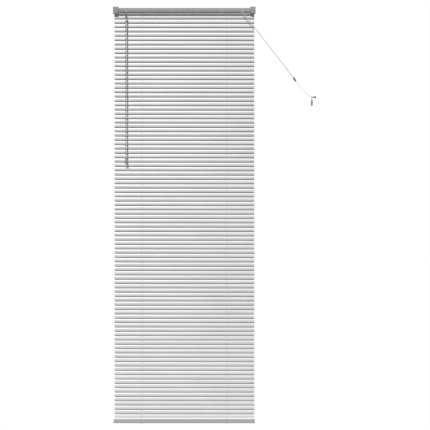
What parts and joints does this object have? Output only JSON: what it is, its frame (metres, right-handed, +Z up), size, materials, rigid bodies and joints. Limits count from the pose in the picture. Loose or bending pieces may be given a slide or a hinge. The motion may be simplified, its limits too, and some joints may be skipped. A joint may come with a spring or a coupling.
{
  "type": "venetian blind",
  "caption": "Closed aluminium venetian blind on box brackets, with a clear tilt wand, two pull cords drawn aside to a wall hook, and a grey bottom rail",
  "frame": {"origin": "On the wall plane, mid-width, level with the tops of the two brackets", "axes": "+X to the right seen from the room, +Y towards the wall, +Z up"},
  "size_m": [1.0165, 0.0384, 2.0836],
  "materials": {
    "slat": "satin silver stove enamel on rolled aluminium strip",
    "rail": "matt mid-grey stove enamel",
    "bracket": "matt mid-grey stove enamel on pressed steel",
    "grey_plastic": "grey moulded plastic",
    "steel": "bright zinc plate",
    "nylon": "natural white nylon",
    "cord": "white braided polyester",
    "clear_wand": "clear extruded acrylic",
    "dark_plastic": "dark grey moulded plastic"
  },
  "bodies": {
    "root": {"slat_group_01": "slat", "slat_group_02": "slat", "slat_group_03": "slat", "slat_group_04": "slat", "slat_group_05": "slat", "slat_group_06": "slat", "slat_group_07": "slat", "slat_group_08": "slat", "slat_group_09": "slat", "slat_group_10": "slat", "slat_group_11": "slat", "slat_group_12": "slat", "slat_group_13": "slat", "slat_group_14": "slat", "slat_group_15": "slat", "headrail_channel": "rail", "bracket_left": "bracket", "bracket_right": "bracket", "headrail_end_cap_left": "grey_plastic", "headrail_end_cap_right": "grey_plastic", "tassel": "grey_plastic", "gate_pin_left": "steel", "gate_pin_right": "steel", "bracket_screw_left_upper": "steel", "bracket_screw_left_lower": "steel", "bracket_screw_right_upper": "steel", "bracket_screw_right_lower": "steel", "tilter_housing": "nylon", "cradle_left": "nylon", "cradle_right": "nylon", "cord_lock_body": "nylon", "ladder_cord_back_left": "cord", "ladder_cord_back_right": "cord", "lift_cord_left": "cord", "lift_cord_right": "cord", "pull_cord_front": "cord", "pull_cord_rear": "cord", "pull_cord_tail": "cord", "connector_shell": "dark_plastic", "connector_cap": "dark_plastic", "wall_hook": "dark_plastic"},
    "bottom_rail": {"bottom_rail": "rail", "bottom_rail_cap_left": "grey_plastic", "bottom_rail_cap_right": "grey_plastic", "rail_button_left": "grey_plastic", "rail_button_right": "grey_plastic"},
    "tilt_rod": {"tilt_rod": "steel", "worm_wheel": "nylon", "drum_left": "nylon", "drum_right": "nylon"},
    "worm": {"worm_shaft": "nylon"},
    "wand": {"wand_link": "steel", "wand_hook": "steel", "wand_ferrule": "clear_wand", "wand_rod": "clear_wand", "wand_grip": "clear_wand"},
    "gate_left": {"bracket_gate_left": "bracket"},
    "gate_right": {"bracket_gate_right": "bracket"},
    "lock_roller": {"cord_lock_roller": "nylon"},
    "lock_pawl": {"cord_lock_pawl": "nylon"}
  },
  "joints": [
    {"name": "lift", "type": "slide", "parent": "root", "child": "bottom_rail", "axis": [0, 0, 1], "range_m": [0, 1.8], "deforming": ["slat_group_01", "slat_group_02", "slat_group_03", "slat_group_04", "slat_group_05", "slat_group_06", "slat_group_07", "slat_group_08", "slat_group_09", "slat_group_10", "slat_group_11", "slat_group_12", "slat_group_13", "slat_group_14", "slat_group_15", "ladder_cord_back_left", "ladder_cord_back_right", "lift_cord_left", "lift_cord_right"]},
    {"name": "tilt", "type": "hinge", "parent": "root", "child": "tilt_rod", "pos_m": [0, -0.0145, -0.0215], "axis": [1, 0, 0], "range_deg": [-140, 0]},
    {"name": "worm_spin", "type": "hinge", "parent": "root", "child": "worm", "pos_m": [-0.29, -0.02104, -0.01639], "axis": [0, -0.6157, -0.788], "range_deg": [-1700, 10]},
    {"name": "wand_spin", "type": "hinge", "parent": "root", "child": "wand", "pos_m": [-0.29, -0.03261, -0.0312], "axis": [0, 0, -1], "range_deg": [-1700, 10]},
    {"name": "gate_left_swing", "type": "hinge", "parent": "root", "child": "gate_left", "pos_m": [-0.343, -0.029, -0.0027], "axis": [-1, 0, 0], "range_deg": [0, 100]},
    {"name": "gate_right_swing", "type": "hinge", "parent": "root", "child": "gate_right", "pos_m": [0.343, -0.029, -0.0027], "axis": [-1, 0, 0], "range_deg": [0, 100]},
    {"name": "lock_roller_spin", "type": "hinge", "parent": "root", "child": "lock_roller", "pos_m": [0.29, -0.019, -0.02], "axis": [1, 0, 0], "continuous": true},
    {"name": "lock_pawl_swing", "type": "hinge", "parent": "root", "child": "lock_pawl", "pos_m": [0.29, -0.0105, -0.019], "axis": [1, 0, 0], "range_deg": [-20, 0]}
  ],
  "couplings": [
    {"joint": "worm_spin", "follows": "tilt", "ratio": 12},
    {"joint": "wand_spin", "follows": "tilt", "ratio": 12}
  ]
}
